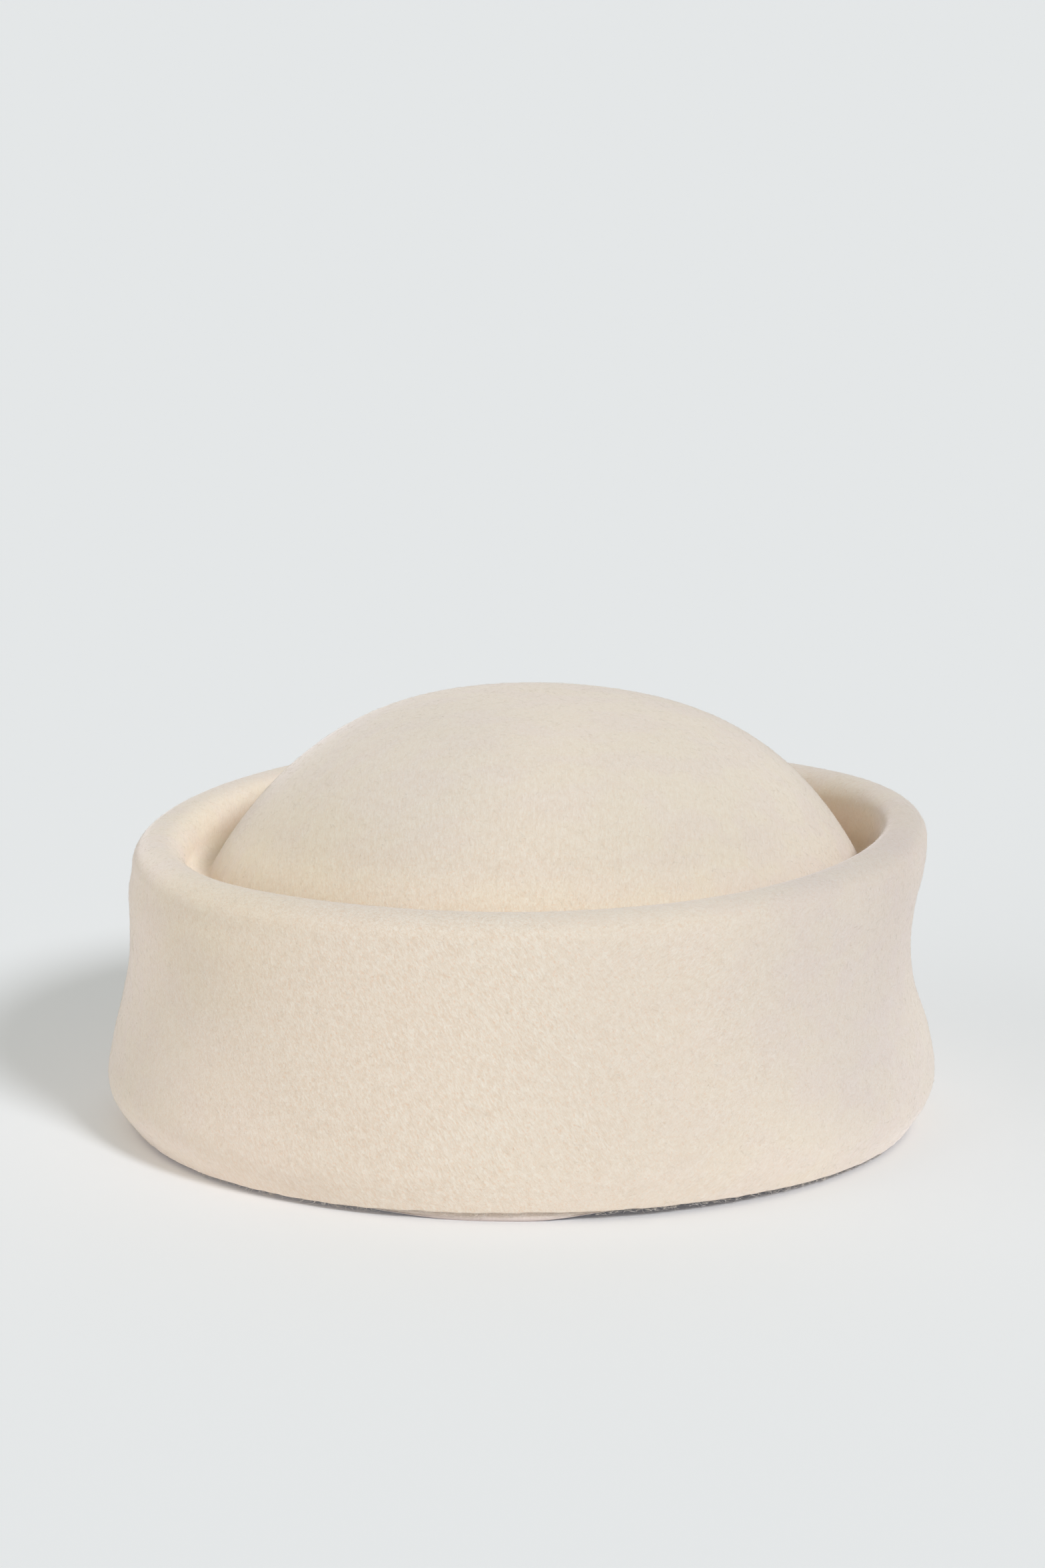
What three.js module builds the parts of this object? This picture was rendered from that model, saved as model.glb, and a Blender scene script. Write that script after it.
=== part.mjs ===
// Pillbox hat of blocked wool felt, standing on the lower edge of its sweatband.
//
// Frame: millimetres, +Z up, the surface it stands on at z = 0, +X towards the hat's front, where the
// rim is highest, +Y towards its left side. An angle runs round the hat from +X towards +Y.
//
// The felt is one piece. From its cut lower edge it rises as the outer wall, folds over into the round
// rim, runs down as the inner wall, turns in a narrow groove and rises again as the domed crown.

import * as THREE from "three";

// ---------- Driving dimensions, mm ----------

const FELT_THICKNESS = 2.0;

// The outer wall's ovals from its cut edge (level 0) to the spring of the fold (level 1). shift is how far
// an oval's middle lies towards the front. At the two ends the wall has a waist above its low belly.
const WALL = [
  { level: 0.0, halfLength: 96.7, halfWidth: 81.1, shift: 0.2 },
  { level: 0.13, halfLength: 102.0, halfWidth: 83.8, shift: 0.0 },
  { level: 0.3, halfLength: 100.8, halfWidth: 84.0, shift: -0.15 },
  { level: 0.46, halfLength: 97.8, halfWidth: 83.4, shift: -0.75 },
  { level: 0.62, halfLength: 96.2, halfWidth: 82.7, shift: -0.45 },
  { level: 0.78, halfLength: 96.5, halfWidth: 82.1, shift: 0.25 },
  { level: 0.9, halfLength: 97.5, halfWidth: 81.8, shift: 1.15 },
  { level: 1.0, halfLength: 97.3, halfWidth: 81.7, shift: 1.9 },
];

// Waves of the cut edge and of the rim's top round the hat: lift is the height of each of its lobes,
// and peak the angle in degrees of the first.
const CUT_EDGE = {
  height: 1.7,
  waves: [
    { lobes: 1, lift: 0.2, peak: 45 },
    { lobes: 2, lift: 0.55, peak: 90 },
    { lobes: 3, lift: 0.3, peak: 45 },
  ],
};
const RIM = {
  height: 74.4,
  waves: [
    { lobes: 1, lift: 2.55, peak: 0 },
    { lobes: 2, lift: 0.45, peak: -32 },
    { lobes: 3, lift: 0.75, peak: 0 },
  ],
};

// The fold's outer radius at the sides, and what it gains towards the back.
const FOLD = { radius: 6.1, gain: 0.3 };

// The crown's section: an oval at footHeight, closing to a point at topHeight. drop lowers the oval at the
// front and raises it at the back; lean carries the top forwards. A higher fullness swells the shoulders,
// and a higher softness flattens the top. The groove hides the lowest part.
const CROWN = {
  halfLength: 83.4,
  halfWidth: 69.2,
  shift: 5.0,
  lean: 3.1,
  drop: 3.0,
  footHeight: 55.0,
  topHeight: 105.7,
  fullness: 2.93,
  softness: 0.85,
};

// The groove between the inner wall and the crown: the height of its two edges, and how far it reaches
// below them.
const GROOVE = { height: 63.5, depth: 2.4 };

// The ribbon sweatband inside the wall.
const SWEATBAND = { thickness: 0.9, clearance: 0.4 };

// ---------- Facets ----------

const ANGLES = 46;
const STEPS = { wall: 13, fold: 9, innerWall: 2, groove: 7, crown: 14 };

// The sweatband reaches as high as the lowest steps of the wall.
const SWEATBAND_STEPS = 5;

// ---------- Sections ----------

const radians = (degrees) => (degrees * Math.PI) / 180;

const spread = (steps) => Array.from({ length: steps }, (_, i) => i / steps);

// A column of the wall's table at a level, as a smooth curve through its rows that ends upright.
function wallColumn(column, level) {
  const slope = (i) => {
    if (i === WALL.length - 1) return 0;
    const from = WALL[Math.max(i - 1, 0)];
    const to = WALL[i + 1];
    return (to[column] - from[column]) / (to.level - from.level);
  };
  const next = Math.max(1, WALL.findIndex((row) => row.level >= level));
  const low = WALL[next - 1];
  const high = WALL[next];
  const span = high.level - low.level;
  const t = (level - low.level) / span;
  return (
    (2 * t ** 3 - 3 * t ** 2 + 1) * low[column] +
    (t ** 3 - 2 * t ** 2 + t) * span * slope(next - 1) +
    (3 * t ** 2 - 2 * t ** 3) * high[column] +
    (t ** 3 - t ** 2) * span * slope(next)
  );
}

const waveHeight = (edge, angle) =>
  edge.waves.reduce(
    (height, wave) => height + wave.lift * Math.cos(wave.lobes * (angle - radians(wave.peak))),
    edge.height,
  );

const ovalPoint = (angle, halfLength, halfWidth, shift, height) =>
  new THREE.Vector3(shift + halfLength * Math.cos(angle), halfWidth * Math.sin(angle), height);

const foldRadius = (angle) => FOLD.radius - FOLD.gain * Math.cos(angle);
const springHeight = (angle) => waveHeight(RIM, angle) - foldRadius(angle);

function wallPoint(angle, level) {
  const [halfLength, halfWidth, shift] = ["halfLength", "halfWidth", "shift"].map((column) =>
    wallColumn(column, level),
  );
  const height = THREE.MathUtils.lerp(waveHeight(CUT_EDGE, angle), springHeight(angle), level);
  return ovalPoint(angle, halfLength, halfWidth, shift, height);
}

// turn runs from 0 at the outer wall over the top to 1 at the inner wall.
function foldPoint(angle, turn) {
  const { halfLength, halfWidth, shift } = WALL.at(-1);
  const radius = foldRadius(angle);
  const inwards = radius * (1 - Math.cos(Math.PI * turn));
  const height = springHeight(angle) + radius * Math.sin(Math.PI * turn);
  return ovalPoint(angle, halfLength - inwards, halfWidth - inwards, shift, height);
}

// Runs straight down from the fold to the groove's edge.
const innerWallPoint = (angle, fall) => {
  const point = foldPoint(angle, 1);
  return point.setZ(THREE.MathUtils.lerp(point.z, GROOVE.height, fall));
};

// How far up its section the crown is about as high as the groove's edge.
function crownStart(angle) {
  const above = GROOVE.height - CROWN.footHeight + CROWN.drop * Math.cos(angle);
  const rise = above / (CROWN.topHeight - CROWN.footHeight);
  return (2 / Math.PI) * Math.asin(rise ** (1 / (2 * CROWN.softness)));
}

// climb runs from 0 at the groove to 1 at the crown's top.
function crownPoint(angle, climb) {
  const q = (THREE.MathUtils.lerp(crownStart(angle), 1, climb) * Math.PI) / 2;
  const reach = Math.max(Math.cos(q), 0) ** (2 / CROWN.fullness);
  const rise = Math.sin(q) ** (2 * CROWN.softness);
  const height =
    CROWN.footHeight +
    rise * (CROWN.topHeight - CROWN.footHeight) -
    CROWN.drop * reach * Math.cos(angle);
  const shift = CROWN.shift + CROWN.lean * rise;
  return ovalPoint(angle, CROWN.halfLength * reach, CROWN.halfWidth * reach, shift, height);
}

// turn runs from 0 at the inner wall under the groove to 1 at the crown.
function groovePoint(angle, turn) {
  const across = (1 - Math.cos(Math.PI * turn)) / 2;
  const point = innerWallPoint(angle, 1).lerp(crownPoint(angle, 0), across);
  return point.setZ(point.z - GROOVE.depth * Math.sin(Math.PI * turn));
}

// ---------- Rings and skins ----------

// The felt's outer face as rings of points, from the cut edge to just under the crown's top.
const feltStations = [
  ...spread(STEPS.wall).map((t) => (angle) => wallPoint(angle, t)),
  ...spread(STEPS.fold).map((t) => (angle) => foldPoint(angle, t)),
  ...spread(STEPS.innerWall).map((t) => (angle) => innerWallPoint(angle, t)),
  ...spread(STEPS.groove).map((t) => (angle) => groovePoint(angle, t)),
  ...spread(STEPS.crown).map((t) => (angle) => crownPoint(angle, t)),
];

const ringAngles = spread(ANGLES).map((turn) => 2 * Math.PI * turn);
const ringsOf = (stations) => stations.map((at) => ringAngles.map((angle) => at(angle)));

// Each point of a grid of rings, moved by depth against the grid's outward normal.
function insideOf(rings, depth) {
  return rings.map((ring, i) =>
    ring.map((point, j) => {
      const along = rings[Math.min(i + 1, rings.length - 1)][j].clone();
      along.sub(rings[Math.max(i - 1, 0)][j]);
      const around = ring[(j + 1) % ANGLES].clone().sub(ring[(j + ANGLES - 1) % ANGLES]);
      const outward = around.cross(along).normalize();
      return point.clone().addScaledVector(outward, -depth);
    }),
  );
}

// ---------- Closed meshes ----------

class MeshBuilder {
  points = [];
  triangles = [];

  addPoint(point) {
    return this.points.push(point) - 1;
  }

  addRing(ring) {
    return ring.map((point) => this.addPoint(point));
  }

  // Joins two rings whose faces look outwards where the second lies above the first.
  joinRings(lower, upper) {
    lower.forEach((corner, j) => {
      const k = (j + 1) % lower.length;
      this.triangles.push(corner, lower[k], upper[k], corner, upper[k], upper[j]);
    });
  }

  joinAll(rings) {
    rings.slice(1).forEach((ring, i) => this.joinRings(rings[i], ring));
  }

  closeOver(ring, tip) {
    ring.forEach((corner, j) => this.triangles.push(corner, ring[(j + 1) % ring.length], tip));
  }

  geometry() {
    const geometry = new THREE.BufferGeometry().setFromPoints(this.points);
    geometry.setIndex(this.triangles);
    geometry.computeVertexNormals();
    return geometry;
  }
}

// One hollow shell: the outer face up to its top, and the inner face back down to the cut edge.
function feltGeometry() {
  const outer = ringsOf(feltStations);
  const inner = insideOf(outer, FELT_THICKNESS);
  const top = crownPoint(0, 1);
  const builder = new MeshBuilder();
  const outerRings = outer.map((ring) => builder.addRing(ring));
  const innerRings = inner.map((ring) => builder.addRing(ring)).reverse();
  builder.joinAll(outerRings);
  builder.closeOver(outerRings.at(-1), builder.addPoint(top));
  const underside = builder.addPoint(top.clone().setZ(top.z - FELT_THICKNESS));
  builder.closeOver([...innerRings[0]].reverse(), underside);
  builder.joinAll([...innerRings, outerRings[0]]);
  return builder.geometry();
}

// A band of even thickness that follows the wall's inner face and ends flat on the surface below it.
function sweatbandGeometry() {
  const wall = ringsOf(feltStations.slice(0, SWEATBAND_STEPS + 2));
  const outerDepth = FELT_THICKNESS + SWEATBAND.clearance;
  const faces = [outerDepth, outerDepth + SWEATBAND.thickness].map((depth) => {
    const rings = insideOf(wall, depth).slice(0, -1);
    const foot = rings[0].map((point) => point.clone().setZ(0));
    return [foot, ...rings];
  });
  const builder = new MeshBuilder();
  const [outerRings, innerRings] = faces.map((rings) => rings.map((ring) => builder.addRing(ring)));
  builder.joinAll([...outerRings, ...innerRings.reverse(), outerRings[0]]);
  return builder.geometry();
}

// ---------- The hat ----------

function piece(name, geometry, colour, roughness) {
  const material = new THREE.MeshStandardMaterial({ color: colour, roughness, metalness: 0 });
  const mesh = new THREE.Mesh(geometry, material);
  mesh.name = name;
  return mesh;
}

const hat = new THREE.Group();
hat.name = "pillbox_hat";
hat.add(piece("felt_body", feltGeometry(), 0xe5d9c8, 0.95));
hat.add(piece("sweatband", sweatbandGeometry(), 0xd8ccbc, 0.85));

export default hat;
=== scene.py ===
import math

import bpy
import numpy as np
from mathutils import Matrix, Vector, noise


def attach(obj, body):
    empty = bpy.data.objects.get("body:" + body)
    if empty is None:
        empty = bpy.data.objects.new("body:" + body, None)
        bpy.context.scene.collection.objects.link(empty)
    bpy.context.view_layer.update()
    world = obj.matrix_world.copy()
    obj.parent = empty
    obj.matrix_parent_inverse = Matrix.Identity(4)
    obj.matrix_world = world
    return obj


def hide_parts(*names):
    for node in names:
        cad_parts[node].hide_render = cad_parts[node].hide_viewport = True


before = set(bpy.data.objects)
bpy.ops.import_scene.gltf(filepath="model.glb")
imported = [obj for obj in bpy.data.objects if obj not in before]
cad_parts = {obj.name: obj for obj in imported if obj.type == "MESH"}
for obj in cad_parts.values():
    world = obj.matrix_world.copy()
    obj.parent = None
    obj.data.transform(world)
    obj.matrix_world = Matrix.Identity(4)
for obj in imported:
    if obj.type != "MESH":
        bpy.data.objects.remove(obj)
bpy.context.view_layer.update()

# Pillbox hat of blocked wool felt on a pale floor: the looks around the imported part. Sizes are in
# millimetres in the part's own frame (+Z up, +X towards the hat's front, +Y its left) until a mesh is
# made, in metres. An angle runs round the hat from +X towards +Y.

MM = 0.001

# ---------- The felt's shape, as in the CAD part ----------

FELT_THICKNESS = 2.0

# The outer wall's ovals from its cut edge to the spring of the fold: level, half length, half width, and
# how far the oval's middle lies towards the front.
LEVEL, HALF_LENGTH, HALF_WIDTH, SHIFT = range(4)
WALL = np.array([
    (0.0, 96.7, 81.1, 0.2),
    (0.13, 102.0, 83.8, 0.0),
    (0.3, 100.8, 84.0, -0.15),
    (0.46, 97.8, 83.4, -0.75),
    (0.62, 96.2, 82.7, -0.45),
    (0.78, 96.5, 82.1, 0.25),
    (0.9, 97.5, 81.8, 1.15),
    (1.0, 97.3, 81.7, 1.9),
])

# Height, then its waves round the hat: lobes, lift, and the angle of the first peak in degrees.
CUT_EDGE = (1.7, [(1, 0.2, 45), (2, 0.55, 90), (3, 0.3, 45)])
RIM = (74.4, [(1, 2.55, 0), (2, 0.45, -32), (3, 0.75, 0)])

FOLD_RADIUS = 6.1
FOLD_GAIN = 0.3  # what the radius gains towards the back

CROWN_HALF = (83.4, 69.2)
CROWN_SHIFT = 5.0
CROWN_LEAN = 3.1
CROWN_DROP = 3.0
CROWN_FOOT = 55.0
CROWN_TOP = 105.7
CROWN_FULLNESS = 2.93
CROWN_SOFTNESS = 0.85

GROOVE_HEIGHT = 63.5
GROOVE_DEPTH = 2.4

RIBBON_THICKNESS = 0.9
RIBBON_CLEARANCE = 0.4
RIBBON_LEVEL = 0.4  # how far up the wall it reaches

# ---------- Detail that only the looks have ----------

CUT_ROUNDING = 0.7  # radius of the cut edge's outer corner
JUST_ABOVE_CUT = 0.02  # a level that gives the wall's direction at the edge
CROWN_TIP_RISE = 0.02  # of the crown's middle above the ring round it

# Unevenness of the felt, and the cut edge's wander up and down: swell length, depth.
UNEVEN = [(58.0, 0.25), (15.0, 0.03), (4.2, 0.008)]
RAGGED = [(9.0, 0.22), (2.6, 0.16)]
RAGGED_REACH = 5.0  # how far up the wall the edge's wander fades out
UNEVEN_SEED, RAGGED_SEED = 1, 7  # of each table's first row

# The ribbon's foot is off the floor between these angles, where it hides behind the cut edge: start, end,
# and the length of the slope at both ends, in degrees.
RIBBON_LIFTS = [(195.0, 262.0, 22.0), (270.0, 345.0, 16.0)]
RIBBON_TUCK = 0.5  # how far above the lifted foot the felt's cut edge is
RIBBON_ROLL = 1.0  # how far its foot rolls outwards where it stands on the floor
RIBBON_BEVEL = 0.35  # of its foot's corners

FIBRE_SEED = 20
FIBRE_FLOOR = 0.08  # no fibre comes nearer to the floor

# Loose fibres that lie on the felt.
FUZZ_PIECES = 3
FUZZ_COUNT = 18500  # in each piece
FUZZ_LENGTH = (0.9, 2.6)
FUZZ_HALF_THICKNESS = 0.018
FUZZ_SLOPE = (0.0, 0.16)  # the tip's, away from the felt
FUZZ_ARCH = 0.6  # the middle's slope as a share of the tip's
FUZZ_SWERVE = 0.25  # usual sideways drift of the tip as a share of the length
FUZZ_SINK = 0.05  # the root's depth in the felt

# Curled fibres that hang from the cut edge on the camera's side.
HEM_COUNT = 1500
HEM_ANGLES = (215.0, 335.0)
HEM_STEPS = 9
HEM_HALF_THICKNESS = 0.04
HEM_INSET = (0, 1.1)  # the root's depth behind the wall's face
HEM_ROOT_LIFT = 0.1
HEM_CURL = (0.25, 0.75)  # radius
HEM_CURL_HEIGHT = 0.5  # of a curl, as a share of its width
HEM_TURNS = (0.3, 1.1)
HEM_START = (-0.6, 0.6)  # where on its curl a fibre starts, in radians
HEM_RUN = (0.2, 1.8)  # along the edge
HEM_FALL = (0.0, 1.2)
HEM_FALL_POWER = 0.8
HEM_SWAY = 0.3  # usual distance in or out

# ---------- Mesh density ----------

AROUND = 560  # points in a ring

# Rings in each stretch of the outer face, and how many of them there are to one of the inner face.
RINGS = {"cut": 4, "wall": 54, "fold": 22, "inner_wall": 9, "groove": 11, "crown": 44}
INNER_EVERY = {"cut": 4, "wall": 9, "fold": 4, "inner_wall": 9, "groove": 3, "crown": 8}
CROWN_CROWDING = 1.6  # above 1, the crown's rings lie closer together towards its top
RIBBON_RINGS = 20
DROP_RINGS = 7  # of the ribbon, below the felt

ANGLES = 2 * np.pi * np.arange(AROUND) / AROUND
COS, SIN = np.cos(ANGLES), np.sin(ANGLES)

# ---------- Sections ----------


def unit(vectors):
    return vectors / np.linalg.norm(vectors, axis=-1, keepdims=True)


def wall_column(column, level):
    """A column of the wall's table at a level, as a smooth curve through its rows that ends upright."""
    levels, values = WALL[:, LEVEL], WALL[:, column]
    slopes = np.zeros(len(levels))
    slopes[0] = (values[1] - values[0]) / (levels[1] - levels[0])
    slopes[1:-1] = (values[2:] - values[:-2]) / (levels[2:] - levels[:-2])
    i = int(np.clip(np.searchsorted(levels, level), 1, len(levels) - 1))
    span = levels[i] - levels[i - 1]
    t = (level - levels[i - 1]) / span
    return (
        (2 * t**3 - 3 * t**2 + 1) * values[i - 1]
        + (t**3 - 2 * t**2 + t) * span * slopes[i - 1]
        + (3 * t**2 - 2 * t**3) * values[i]
        + (t**3 - t**2) * span * slopes[i]
    )


def wave_height(edge):
    height, waves = edge
    lifts = [lift * np.cos(lobes * (ANGLES - math.radians(peak))) for lobes, lift, peak in waves]
    return height + sum(lifts)


def oval(half_length, half_width, shift, height):
    ring = np.empty((AROUND, 3))
    ring[:, 0] = shift + half_length * COS
    ring[:, 1] = half_width * SIN
    ring[:, 2] = height
    return ring


fold_radius = FOLD_RADIUS - FOLD_GAIN * COS
cut_height = wave_height(CUT_EDGE)
spring_height = wave_height(RIM) - fold_radius
wall_rise = spring_height - cut_height

# How far up its section the crown is about as high as the groove's edge.
start_rise = (GROOVE_HEIGHT - CROWN_FOOT + CROWN_DROP * COS) / (CROWN_TOP - CROWN_FOOT)
crown_start = np.arcsin(start_rise ** (1 / (2 * CROWN_SOFTNESS))) / (np.pi / 2)


def wall_ring(level):
    length, width, shift = (wall_column(column, level) for column in (HALF_LENGTH, HALF_WIDTH, SHIFT))
    return oval(length, width, shift, cut_height + level * wall_rise)


def cut_ring(t):
    """From the cut face, t = 0, round its outer corner to the wall, t = 1."""
    edge, above = wall_ring(0), wall_ring(JUST_ABOVE_CUT)
    up = unit(above - edge)
    outward = normals_of(np.array([edge, above]))[0]
    bend = math.pi / 2 * (1 - t)
    out_by = CUT_ROUNDING * (math.cos(bend) - 1)
    up_by = CUT_ROUNDING * (1 - math.sin(bend))
    return edge + out_by * outward + up_by * up


def wall_above_cut(t):
    start = CUT_ROUNDING / wall_rise.mean()
    return wall_ring(start + t * (1 - start))


def fold_ring(t):
    _, length, width, shift = WALL[-1]
    inwards = fold_radius * (1 - math.cos(math.pi * t))
    height = spring_height + fold_radius * math.sin(math.pi * t)
    return oval(length - inwards, width - inwards, shift, height)


def inner_wall_ring(t):
    ring = fold_ring(1)
    ring[:, 2] += t * (GROOVE_HEIGHT - ring[:, 2])
    return ring


def groove_ring(t):
    start, end = inner_wall_ring(1), crown_ring(0)
    ring = start + (1 - math.cos(math.pi * t)) / 2 * (end - start)
    ring[:, 2] -= GROOVE_DEPTH * math.sin(math.pi * t)
    return ring


def crown_ring(t):
    climb = crown_start + (1 - crown_start) * (1 - (1 - t) ** CROWN_CROWDING)
    q = climb * np.pi / 2
    reach = np.maximum(np.cos(q), 0) ** (2 / CROWN_FULLNESS)
    rise = np.sin(q) ** (2 * CROWN_SOFTNESS)
    height = CROWN_FOOT + rise * (CROWN_TOP - CROWN_FOOT) - CROWN_DROP * reach * COS
    length, width = CROWN_HALF
    return oval(length * reach, width * reach, CROWN_SHIFT + CROWN_LEAN * rise, height)


SECTION = [
    ("cut", cut_ring),
    ("wall", wall_above_cut),
    ("fold", fold_ring),
    ("inner_wall", inner_wall_ring),
    ("groove", groove_ring),
    ("crown", crown_ring),
]


def felt_rings():
    """The outer face as rings from the cut edge up, and which of them the inner face follows."""
    rings, followed = [], []
    for name, ring_at in SECTION:
        for i in range(RINGS[name]):
            if i % INNER_EVERY[name] == 0:
                followed.append(len(rings))
            rings.append(ring_at(i / RINGS[name]))
    return np.array(rings), followed


def normals_of(rings):
    along = np.gradient(rings, axis=0)
    around = np.roll(rings, -1, axis=1) - np.roll(rings, 1, axis=1)
    return unit(np.cross(around, along))


SEED_STEP = (17.3, 5.1, 11.7)  # how far apart in the noise two seeds look


def wander(points, size, seed):
    """Smooth noise from about -1 to 1 at each point, with swells about as long as size."""
    offset = Vector([step * seed for step in SEED_STEP])
    flat = points.reshape(-1, 3) / size
    values = [noise.noise(Vector(p) + offset) for p in flat]
    return np.array(values).reshape(points.shape[:-1])


def uneven(rings, normals):
    """The rings with the felt's lumps, and with the cut edge's wander."""

    def swells(at, table, first_seed):
        return sum(depth * wander(at, size, seed) for seed, (size, depth) in enumerate(table, first_seed))

    bumpy = rings + swells(rings, UNEVEN, UNEVEN_SEED)[..., None] * normals
    height = rings[..., 2] - rings[:1, :, 2]
    near_edge = np.exp(-((height / RAGGED_REACH) ** 2))
    bumpy[..., 2] += swells(rings[:1], RAGGED, RAGGED_SEED) * near_edge
    return bumpy


# ---------- Meshes ----------


def grid_faces(first, rows):
    """Quads between rings of points stored one after another, looking outwards as the rings climb."""
    column = np.arange(AROUND)
    row_start = first + np.arange(rows - 1)[:, None] * AROUND
    corner, beside = row_start + column, row_start + (column + 1) % AROUND
    return np.stack([corner, beside, beside + AROUND, corner + AROUND], 2).reshape(-1, 4).tolist()


def make_mesh(name, points, faces, material):
    mesh = bpy.data.meshes.new(name)
    mesh.from_pydata((np.asarray(points) * MM).tolist(), [], faces)
    mesh.polygons.foreach_set("use_smooth", [True] * len(mesh.polygons))
    mesh.materials.append(material)
    mesh.update()
    piece = bpy.data.objects.new(name, mesh)
    bpy.context.scene.collection.objects.link(piece)
    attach(piece, "root")
    return piece


OFF_AXIS = 0.3  # turns a copy of a fibre's direction clear of the direction itself


def sliver_mesh(name, spines, half_thickness, material):
    """Closed three-sided fibres along spines (fibre, step, xyz), which taper to a point."""
    count, steps, _ = spines.shape
    along = unit(np.gradient(spines, axis=1))
    side = unit(np.cross(along, np.roll(along, 1, axis=2) + OFF_AXIS))
    other = np.cross(along, side)
    taper = half_thickness * (1 - (np.arange(steps - 1) / (steps - 1)) ** 2)
    rings = []
    for corner in range(3):
        a = 2 * math.pi * corner / 3
        spread = math.cos(a) * side[:, :-1] + math.sin(a) * other[:, :-1]
        rings.append(spines[:, :-1] + taper[:, None] * spread)
    body = np.stack(rings, 2).reshape(count, -1, 3)
    points = np.concatenate([body, spines[:, -1:]], 1)
    one = [(2, 1, 0)]  # the faces of one fibre
    for i in range(steps - 2):
        for j in range(3):
            k = (j + 1) % 3
            one.append((3 * i + j, 3 * i + k, 3 * i + 3 + k, 3 * i + 3 + j))
    last = 3 * (steps - 2)
    one += [(last + j, last + (j + 1) % 3, last + 3) for j in range(3)]
    size = points.shape[1]
    faces = [tuple(first + v for v in face) for first in range(0, count * size, size) for face in one]
    return make_mesh(name, points.reshape(-1, 3), faces, material)


# ---------- Material nodes ----------


def add_node(tree, kind, inputs=None, **settings):
    """A node with its settings and inputs; an input is a value, or the output of another node."""
    node = tree.nodes.new(kind)
    for key, value in settings.items():
        setattr(node, key, value)
    for key, value in (inputs or {}).items():
        if isinstance(value, bpy.types.NodeSocket):
            tree.links.new(value, node.inputs[key])
        else:
            node.inputs[key].default_value = value
    return node


def new_material(name):
    material = bpy.data.materials.new(name)
    material.use_nodes = True
    material.node_tree.nodes.clear()
    return material, material.node_tree


def add_surface(tree, inputs):
    shader = add_node(tree, "ShaderNodeBsdfPrincipled", inputs)
    add_node(tree, "ShaderNodeOutputMaterial", {"Surface": shader.outputs[0]})


def object_place(tree):
    return add_node(tree, "ShaderNodeTexCoord").outputs["Object"]


def axes_of(tree, place):
    return add_node(tree, "ShaderNodeSeparateXYZ", {0: place}).outputs


def maths(tree, operation, *values):
    return add_node(tree, "ShaderNodeMath", dict(enumerate(values)), operation=operation).outputs[0]


def vector_maths(tree, operation, output, *values):
    node = add_node(tree, "ShaderNodeVectorMath", dict(enumerate(values)), operation=operation)
    return node.outputs[output]


def remap(tree, value, start, end, low=0.0, high=1.0, way="LINEAR"):
    """A value between start and end, moved to between low and high, and held there outside them."""
    inputs = {0: value, 1: start, 2: end, 3: low, 4: high}
    return add_node(tree, "ShaderNodeMapRange", inputs, interpolation_type=way).outputs[0]


def fade(tree, value, start, end):
    """A soft step from 0 at start to 1 at end; start may be the higher."""
    return remap(tree, value, start, end, way="SMOOTHSTEP")


# Of a Mix node's inputs, 2 and 3 are its two numbers, and 6 and 7 its two colours.
def mix(tree, share, first, second):
    return add_node(tree, "ShaderNodeMix", {0: share, 2: first, 3: second}).outputs[0]


def blend(tree, share, first, second, way="MIX"):
    inputs = {0: share, 6: first, 7: second}
    return add_node(tree, "ShaderNodeMix", inputs, data_type="RGBA", blend_type=way).outputs[2]


def tinted(tree, share, colour, tint):
    return blend(tree, share, colour, tint, "MULTIPLY")


def streaks(tree, place, tilt, stretch, length, detail=1.0, roughness=0.6, heading=0):
    """Noise from 0 to 1 with swells of a length in mm across, stretched along a line tilted from +X.

    The tilted line is then turned about the Z axis to its heading. Angles are in degrees.
    """
    turned = add_node(tree, "ShaderNodeMapping", {
        "Vector": place,
        "Rotation": (0, math.radians(tilt), math.radians(heading)),
        "Scale": (stretch, 1, 1),
    }, vector_type="TEXTURE")
    return add_node(tree, "ShaderNodeTexNoise", {
        "Vector": turned.outputs[0],
        "Scale": 1 / (length * MM),
        "Detail": detail,
        "Roughness": roughness,
    }, noise_dimensions="3D").outputs[0]


def metres(lengths):
    return tuple(length * MM for length in lengths)


# ---------- Felt material ----------

FELT_LIGHT = (0.918, 0.849, 0.745, 1)
FELT_DEEP = (0.817, 0.692, 0.556, 1)
FELT_SPECK = (0.86, 0.59, 0.41, 1)
SHEEN = {"Sheen Weight": 0.45, "Sheen Roughness": 0.38, "Sheen Tint": (1.0, 0.93, 0.95, 1)}

# The grain's layers of noise: stretch along the grain, swell length across it, and share.
MOTTLE, MOTTLE_SHARE = (1.3, 2.2), 0.08
FLECKS, FLECKS_SHARE = (3.2, 0.62), 0.46
FIBRES, FIBRES_SHARE = (4.0, 0.20), 0.42
GRAIN_ROUGHNESS = 1.0  # of the flecks' and the fibres' noise
GRAIN_MIDDLE = 0.49  # of the layers' sum
GRAIN_SWING = 0.14  # how far from the middle the colour is fully light or deep
GRAIN_DEPTH = 0.10  # of the bump

# Brown specks: their noise, as above, the values over which they show, and their greatest share.
SPECKS = (1.5, 0.45)
SPECK_SPAN, SPECK_SHARE = (0.57, 0.75), 0.4

# Tilts in degrees. Towards the front, the grain of the wall falls at the back and rises at the front. The
# crown's grain rises towards the left side. The mottle and the specks fall towards the front everywhere.
FALLING, RISING = 60, -38
CLIMBING, CLIMB_HEADING = -42, 90
SLANT = 56

# The wall's grain goes from falling to rising over this span of X plus a wander, which is noise from 0 up.
SWIRL_SPAN = (40, 90)
SWIRL_WANDER = 80
SWIRL_SWELL = 18

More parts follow.
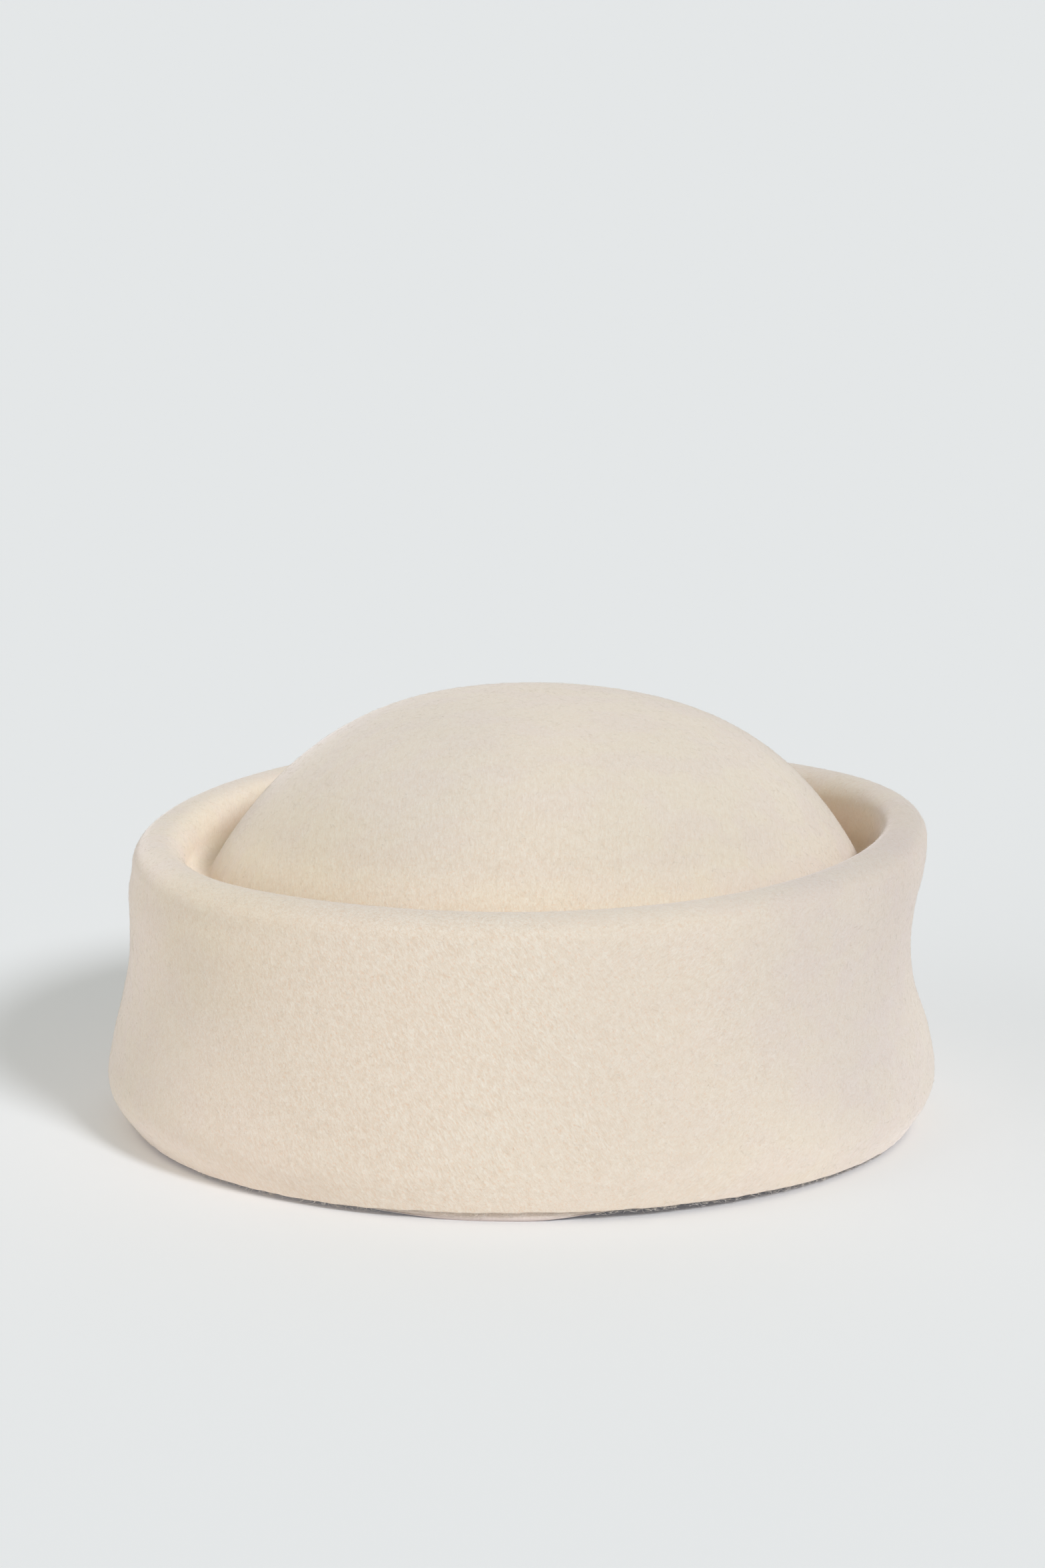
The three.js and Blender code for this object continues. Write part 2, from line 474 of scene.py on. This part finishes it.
# The nap is how strongly the grain shows: fully up to the first distance from its middle, and least from
# the second on.
NAP_MIDDLE = (-20, -84, 38)
NAP_SPAN = (34, 94)
NAP_FAR = 0.50
NAP_ON_CROWN = -0.1  # what the crown adds to it

# Faint lilac sweeps where the nap is smooth: tilt, stretch and swell length, detail.
SWEEPS, SWEEP_DETAIL = (-10, 2.2, 8), 1.5
SWEEP_SPAN = (0.40, 0.62)
SWEEP_TINT = (0.988, 0.976, 1.022, 1)

# Soft patches of painted shade and painted light, mixed with the felt's own tone: they darken, lighten or
# warm the felt where the lamps leave it too light or too dark. Middle, radius, tint.
SHADE_LIGHT_AND_TONE_PATCHES = [
    ((94, -64, 57), 60, (0.895, 0.893, 0.922, 1)),
    ((106, -18, 66), 46, (0.92, 0.905, 0.92, 1)),
    ((-34, -28, 98), 52, (0.925, 0.934, 0.946, 1)),
    ((-102, -18, 52), 44, (1.06, 1.05, 1.07, 1)),
    ((-48, -70, 42), 60, (0.992, 0.978, 0.972, 1)),
    ((-76, -54, 0), 44, (1.045, 1.035, 1.045, 1)),
    ((98, -40, 20), 42, (0.960, 0.960, 0.985, 1)),
    ((-84, 4, 68), 36, (0.985, 0.985, 0.975, 1)),
    ((-60, -38, 72), 42, (1.00, 0.992, 0.950, 1)),
    ((36, -38, 92), 42, (0.964, 0.970, 0.966, 1)),
    ((34, -84, 40), 48, (0.974, 0.970, 0.972, 1)),
]
PATCH_CORE = 0.3  # the share of its radius within which a patch is full

# Bands at a height: where each fades in, and its tint. The rim's crest is painted greyer, as painted
# shade; the groove and the lower edge are painted paler, as painted light that stands in for light bounced
# into the groove and up from the floor. The first two follow the rim, which climbs towards the front.
RIM_CLIMB = 0.026
CREST_SHADE_SPAN, CREST_SHADE_TINT = (70.5, 74.5), (0.940, 0.948, 0.962, 1)
GROOVE_LIGHT_SPAN, GROOVE_LIGHT_TINT = (81, 73), (1.055, 1.070, 1.067, 1)
HEM_LIGHT_SPAN, HEM_LIGHT_TINT = (16, 5), (1.026, 1.025, 1.032, 1)
CROWN_SPAN = (0.91, 0.86)  # how far out the crown starts, as a share of the wall's top oval


def felt_material():
    material, tree = new_material("cream_felt")
    place = object_place(tree)
    axes = axes_of(tree, place)

    def away_from(middle):
        return vector_maths(tree, "DISTANCE", "Value", place, metres(middle))

    def grain(stretch, length):
        def layer(tilt, heading=0):
            return streaks(tree, place, tilt, stretch, length, roughness=GRAIN_ROUGHNESS, heading=heading)

        on_wall = mix(tree, swirl, layer(FALLING), layer(RISING))
        return mix(tree, on_crown, on_wall, layer(CLIMBING, CLIMB_HEADING))

    # Which part of the felt a point is on.
    half_length, half_width = metres(WALL[-1, [HALF_LENGTH, HALF_WIDTH]])
    in_ovals = vector_maths(tree, "MULTIPLY", "Vector", place, (1 / half_length, 1 / half_width, 0))
    outwards = vector_maths(tree, "LENGTH", "Value", in_ovals)
    on_crown = fade(tree, outwards, *CROWN_SPAN)
    on_rim = fade(tree, outwards, *reversed(CROWN_SPAN))
    wandering = streaks(tree, place, tilt=0, stretch=1, length=SWIRL_SWELL)
    border = maths(tree, "MULTIPLY_ADD", wandering, SWIRL_WANDER * MM, axes["X"])
    swirl = remap(tree, border, *metres(SWIRL_SPAN))

    # The grain, and its specks.
    nap = remap(tree, away_from(NAP_MIDDLE), *metres(NAP_SPAN), 1.0, NAP_FAR)
    nap = maths(tree, "MULTIPLY_ADD", on_crown, NAP_ON_CROWN, nap)
    field = maths(tree, "MULTIPLY", grain(*FLECKS), FLECKS_SHARE)
    field = maths(tree, "MULTIPLY_ADD", grain(*FIBRES), FIBRES_SHARE, field)
    mottle = streaks(tree, place, SLANT, *MOTTLE, detail=0.0)
    field = maths(tree, "MULTIPLY_ADD", mottle, MOTTLE_SHARE, field)
    swing = maths(tree, "MULTIPLY", maths(tree, "SUBTRACT", field, GRAIN_MIDDLE), nap)
    colour = blend(tree, remap(tree, swing, -GRAIN_SWING, GRAIN_SWING), FELT_DEEP, FELT_LIGHT)
    speck = remap(tree, streaks(tree, place, SLANT, *SPECKS), *SPECK_SPAN, 0.0, SPECK_SHARE)
    colour = blend(tree, maths(tree, "MULTIPLY", speck, nap), colour, FELT_SPECK)

    # The tints over it: lilac sweeps, then painted shade and painted light.
    sweep = fade(tree, streaks(tree, place, *SWEEPS, detail=SWEEP_DETAIL), *SWEEP_SPAN)
    smoothness = maths(tree, "SUBTRACT", 1.0, nap)
    colour = tinted(tree, maths(tree, "MULTIPLY", sweep, smoothness), colour, SWEEP_TINT)
    # Painted shade and painted light, in soft patches.
    for middle, radius, tint in SHADE_LIGHT_AND_TONE_PATCHES:
        inside = fade(tree, away_from(middle), radius * MM, PATCH_CORE * radius * MM)
        colour = tinted(tree, inside, colour, tint)
    level = maths(tree, "MULTIPLY_ADD", axes["X"], -RIM_CLIMB, axes["Z"])
    # Painted shade: the rim's crest greyer.
    shaded_crest = maths(tree, "MULTIPLY", on_rim, fade(tree, level, *metres(CREST_SHADE_SPAN)))
    colour = tinted(tree, shaded_crest, colour, CREST_SHADE_TINT)
    # Painted light: the crown's foot in the groove paler, for light bounced into it.
    lit_groove = maths(tree, "MULTIPLY", on_crown, fade(tree, level, *metres(GROOVE_LIGHT_SPAN)))
    colour = tinted(tree, lit_groove, colour, GROOVE_LIGHT_TINT)
    # Painted light: the lower edge paler, for light bounced up from the floor.
    colour = tinted(tree, fade(tree, axes["Z"], *metres(HEM_LIGHT_SPAN)), colour, HEM_LIGHT_TINT)

    relief = {"Strength": nap, "Distance": GRAIN_DEPTH * MM, "Height": field}
    bump = add_node(tree, "ShaderNodeBump", relief)
    add_surface(tree, {
        "Base Color": colour,
        "Roughness": 0.95,
        "Specular IOR Level": 0.1,
        "Diffuse Roughness": 0.5,
        "Normal": bump.outputs[0],
        **SHEEN,
    })
    return material


# ---------- Wool, ribbon and floor materials ----------

TONE_SPAN = (0.35, 0.65)  # the noise's usual span, from the deep colour to the light one

WOOL_DEEP = (0.91, 0.83, 0.72, 1)
WOOL_LIGHT = (0.97, 0.93, 0.87, 1)
WOOL_SWELL = 2.5

RIBBON_DEEP = (0.89, 0.785, 0.705, 1)
RIBBON_LIGHT = (0.95, 0.85, 0.775, 1)
# Painted contact shadow at the ribbon's foot: its colour, and the heights in mm over which it gives way to
# the ribbon's own.
RIBBON_FOOT_SHADOW = (0.60, 0.51, 0.47, 1)
RIBBON_FOOT_SHADOW_SPAN = (0.3, 1.3)
RIBBON_SWELL = 5
RIB_SPACING = 0.9
RIB_DEPTH = 0.06

FLOOR_COLOUR = (0.932, 0.926, 0.908, 1)
FLOOR_GLOW_COLOUR = (0.8, 0.94, 1.25, 1)
FLOOR_GLOW = 0.045


def fibre_material():
    material, tree = new_material("loose_wool")
    swells = streaks(tree, object_place(tree), tilt=0, stretch=1, length=WOOL_SWELL)
    tone = remap(tree, swells, *TONE_SPAN)
    add_surface(tree, {
        "Base Color": blend(tree, tone, WOOL_DEEP, WOOL_LIGHT),
        "Roughness": 1.0,
        "Specular IOR Level": 0.1,
    })
    return material


def ribbon_material():
    """Matt grosgrain: fine upright ribs, and a darker painted shadow at its foot, where it meets the
    floor.
    """
    material, tree = new_material("cream_ribbon")
    place = object_place(tree)
    ribs = add_node(tree, "ShaderNodeTexWave", {
        "Vector": place,
        "Scale": math.pi / (10 * RIB_SPACING * MM),  # its bands repeat every pi / 10 scaled units
        "Distortion": 0.4,
        "Detail": 1.0,
    }, wave_type="BANDS", bands_direction="X").outputs[1]
    swells = streaks(tree, place, tilt=0, stretch=1, length=RIBBON_SWELL, detail=2.0)
    tone = remap(tree, swells, *TONE_SPAN)
    above_foot_shadow = remap(tree, axes_of(tree, place)["Z"], *metres(RIBBON_FOOT_SHADOW_SPAN))
    colour = blend(tree, above_foot_shadow, RIBBON_FOOT_SHADOW, blend(tree, tone, RIBBON_DEEP, RIBBON_LIGHT))
    relief = {"Strength": 0.5, "Distance": RIB_DEPTH * MM, "Height": ribs}
    bump = add_node(tree, "ShaderNodeBump", relief)
    add_surface(tree, {
        "Base Color": colour,
        "Roughness": 0.7,
        "Specular IOR Level": 0.25,
        "Normal": bump.outputs[0],
        **SHEEN,
    })
    return material


def floor_material():
    material, tree = new_material("pale_floor")
    add_surface(tree, {
        "Base Color": FLOOR_COLOUR,
        "Roughness": 1.0,
        "Specular IOR Level": 0.0,
        "Emission Color": FLOOR_GLOW_COLOUR,
        "Emission Strength": FLOOR_GLOW,
    })
    return material


# ---------- The felt shell ----------

smooth, followed = felt_rings()
outward = normals_of(smooth)
outer = uneven(smooth, outward)
inner = (outer - FELT_THICKNESS * outward)[followed][::-1]
top = outer[-1].mean(axis=0) + (0, 0, CROWN_TIP_RISE)

tips = [top, top - (0, 0, FELT_THICKNESS)]
points = np.concatenate([outer.reshape(-1, 3), tips, inner.reshape(-1, 3)])
tip = outer.shape[0] * AROUND  # the outer face's; the inner face's follows it
lid = tip - AROUND  # the ring round the outer tip
first = tip + 2  # the ring round the inner tip
lowest = first + (inner.shape[0] - 1) * AROUND
faces = grid_faces(0, outer.shape[0])
faces += grid_faces(first, inner.shape[0])
for j in range(AROUND):
    k = (j + 1) % AROUND
    faces += [(lid + j, lid + k, tip), (first + k, first + j, tip + 1), (lowest + j, lowest + k, k, j)]
felt_shell = make_mesh("felt_shell", points, faces, felt_material())
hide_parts("felt_body")

# ---------- Loose fibres ----------

QUARTER_TURN = 1.57

wool = fibre_material()
chance = np.random.default_rng(FIBRE_SEED)

# Each cell between two rings gets fibres by its share of the area; the cut face gets none.
edge_along = np.diff(outer, axis=0)
edge_around = np.roll(outer, -1, axis=1)[:-1] - outer[:-1]
cell_area = np.linalg.norm(np.cross(edge_around, edge_along), axis=2)
cell_area[: RINGS["cut"]] = 0
cell_share = cell_area.ravel() / cell_area.sum()


def above_floor(spines):
    spines[..., 2] = np.maximum(spines[..., 2], FIBRE_FLOOR)
    return spines


def fuzz_spines(count):
    """Short fibres from random points of the felt's face, lying along it in all directions."""
    cell = chance.choice(cell_share.size, count, p=cell_share)
    row, column = np.divmod(cell, AROUND)
    beside = (column + 1) % AROUND
    u, v = chance.random((2, count, 1))
    root = (1 - u) * (1 - v) * outer[row, column] + u * (1 - v) * outer[row, beside]
    root += (1 - u) * v * outer[row + 1, column] + u * v * outer[row + 1, beside]
    normal = outward[row, column]
    sideways = unit(edge_around[row, column])
    upwards = np.cross(normal, sideways)
    heading = chance.uniform(0, 2 * np.pi, (count, 1))
    lie = np.cos(heading) * sideways + np.sin(heading) * upwards
    across = heading + QUARTER_TURN
    drift = np.cos(across) * sideways + np.sin(across) * upwards
    length = chance.uniform(*FUZZ_LENGTH, (count, 1))
    slope = chance.uniform(*FUZZ_SLOPE, (count, 1))
    swerve = chance.normal(0, FUZZ_SWERVE, (count, 1))
    middle = root + length / 2 * (lie + FUZZ_ARCH * slope * normal)
    end = root + length * (lie + slope * normal + swerve * drift)
    return above_floor(np.stack([root - FUZZ_SINK * normal, middle, end], 1))


for i in range(FUZZ_PIECES):
    sliver_mesh(f"felt_fuzz_{i + 1}", fuzz_spines(FUZZ_COUNT), FUZZ_HALF_THICKNESS, wool)


def hem_spines(count):
    """Curled fibres that leave the cut edge and hang or loop just under it."""
    each = (count, 1, 1)
    angle = np.radians(chance.uniform(*HEM_ANGLES, count))
    column = np.round(angle / (2 * np.pi) * AROUND).astype(int) % AROUND
    out = outward[RINGS["cut"], column]
    root = outer[0, column] - chance.uniform(*HEM_INSET, (count, 1)) * out + (0, 0, HEM_ROOT_LIFT)
    around = unit(np.roll(outer, -1, axis=1)[0, column] - outer[0, column])
    curl = chance.uniform(*HEM_CURL, each)
    turns = chance.uniform(*HEM_TURNS, each) * chance.choice([-1, 1], each)
    start = chance.uniform(*HEM_START, each)
    run = chance.uniform(*HEM_RUN, each) * chance.choice([-1, 1], each)
    fall = chance.uniform(*HEM_FALL, each)
    t = np.linspace(0, 1, HEM_STEPS)[None, :, None]
    swing = start + 2 * np.pi * turns * t
    sideways = run * t + curl * (np.sin(swing) - np.sin(start))
    down = fall * t**HEM_FALL_POWER - HEM_CURL_HEIGHT * curl * (np.cos(swing) - np.cos(start))
    outwards = chance.normal(0, HEM_SWAY, each) * t
    spines = root[:, None] + sideways * around[:, None] + outwards * out[:, None]
    spines[..., 2] -= down[..., 0]
    return above_floor(spines)


sliver_mesh("hem_fibres", hem_spines(HEM_COUNT), HEM_HALF_THICKNESS, wool)

# ---------- The ribbon ----------

# How far the foot is lifted round the hat, from 0 on the floor to 1 behind the cut edge.
lifted = np.zeros(AROUND)
for start, end, slope in RIBBON_LIFTS:
    t = np.clip(np.minimum(np.degrees(ANGLES) - start, end - np.degrees(ANGLES)) / slope, 0, 1)
    lifted = np.maximum(lifted, t**2 * (3 - 2 * t))
foot_height = lifted * (cut_height - RIBBON_TUCK)

band_wall = np.array([wall_ring(level) for level in np.linspace(0, RIBBON_LEVEL, RIBBON_RINGS)])
band_out = normals_of(band_wall)
near = band_wall - (FELT_THICKNESS + RIBBON_CLEARANCE) * band_out
far = near - RIBBON_THICKNESS * band_out


def drop_ring(depth, t, rise=0):
    """A ring of the ribbon below the felt, from its foot, t = 0, to the felt's edge, t = 1.

    It lies at a depth behind the ribbon's outer face.
    """
    roll = RIBBON_ROLL * (1 - lifted) * math.cos(math.pi / 2 * t) ** 2
    ring = near[0] + (roll - depth)[:, None] * band_out[0]
    ring[:, 2] = foot_height + rise + t * (near[0, :, 2] - foot_height)
    return ring


drop = [drop_ring(0, i / DROP_RINGS) for i in range(1, DROP_RINGS)]
drop_back = [drop_ring(RIBBON_THICKNESS, i / DROP_RINGS) for i in range(1, DROP_RINGS)]
foot = [
    drop_ring(RIBBON_THICKNESS, 0, RIBBON_BEVEL),
    drop_ring(RIBBON_THICKNESS - RIBBON_BEVEL, 0),
    drop_ring(RIBBON_BEVEL, 0),
    drop_ring(0, 0, RIBBON_BEVEL),
]
band = np.concatenate([foot, drop, near, far[::-1], drop_back[::-1]])
rows = band.shape[0]
closing = (rows - 1) * AROUND
faces = grid_faces(0, rows)
faces += [(closing + j, closing + (j + 1) % AROUND, (j + 1) % AROUND, j) for j in range(AROUND)]
ribbon_band = make_mesh("ribbon_band", band.reshape(-1, 3), faces, ribbon_material())
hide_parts("sweatband")

# ---------- Floor ----------

FLOOR_HALF = 6.0  # metres
corners = [(x * FLOOR_HALF, y * FLOOR_HALF, 0) for x, y in ((-1, -1), (1, -1), (1, 1), (-1, 1))]
floor_mesh = bpy.data.meshes.new("floor")
floor_mesh.from_pydata(corners, [], [(0, 1, 2, 3)])
floor_mesh.materials.append(floor_material())
floor = bpy.data.objects.new("floor", floor_mesh)
bpy.context.scene.collection.objects.link(floor)

# ---------- Lights ----------


def sun(name, azimuth, elevation, spread, strength, colour):
    """A far light. Azimuth is from +X towards -Y, where the camera is; angles are in degrees."""
    light = bpy.data.lights.new(name, "SUN")
    light.energy = strength
    light.color = colour
    light.angle = math.radians(spread)
    lamp = bpy.data.objects.new(name, light)
    a, e = math.radians(azimuth), math.radians(elevation)
    towards = Vector((math.cos(a) * math.cos(e), -math.sin(a) * math.cos(e), math.sin(e)))
    lamp.rotation_mode = "QUATERNION"
    lamp.rotation_quaternion = towards.to_track_quat("Z", "Y")
    bpy.context.scene.collection.objects.link(lamp)


sun("key", 51, 39, 13, 1.69, (0.881, 0.919, 1.0))
sun("left_fill", 155, 11, 60, 0.90, (0.955, 0.935, 0.955))
sun("back_fill", 270, 45, 60, 0.32, (0.86, 0.89, 1.0))

# The world lights the scene evenly, and looks as pale as the floor past its far edge.
WORLD_LIGHT = (0.955, 0.975, 0.900, 1)
WORLD_STRENGTH = 0.39
WORLD_SEEN = (0.783, 0.799, 0.791, 1)

world = bpy.data.worlds.new("studio")
world.use_nodes = True
sky = world.node_tree
sky.nodes.clear()
lighting = add_node(sky, "ShaderNodeBackground", {"Color": WORLD_LIGHT, "Strength": WORLD_STRENGTH})
seen = add_node(sky, "ShaderNodeBackground", {"Color": WORLD_SEEN, "Strength": 1.0})
to_camera = add_node(sky, "ShaderNodeLightPath").outputs["Is Camera Ray"]
either = add_node(sky, "ShaderNodeMixShader", {0: to_camera, 1: lighting.outputs[0], 2: seen.outputs[0]})
add_node(sky, "ShaderNodeOutputWorld", {"Surface": either.outputs[0]})
bpy.context.scene.world = world
bpy.context.scene.view_settings.view_transform = "Standard"
bpy.context.scene.cycles.diffuse_bounces = 8  # enough for the light deep in the groove

# ---------- Camera ----------

# As fitted to the photo, in metres.
CAMERA_AT = Vector((0.00023, -1.2021, 0.4135))
CAMERA_AIM = Vector((0.00023, 0.0, 0.0843))
LENS_MM = 117.1
SENSOR_WIDTH_MM = 36.0

camera_data = bpy.data.cameras.new("camera")
camera_data.lens = LENS_MM
camera_data.sensor_width = SENSOR_WIDTH_MM
camera = bpy.data.objects.new("camera", camera_data)
camera.location = CAMERA_AT
camera.rotation_mode = "QUATERNION"
camera.rotation_quaternion = (CAMERA_AIM - CAMERA_AT).to_track_quat("-Z", "Y")
bpy.context.scene.collection.objects.link(camera)
bpy.context.scene.camera = camera
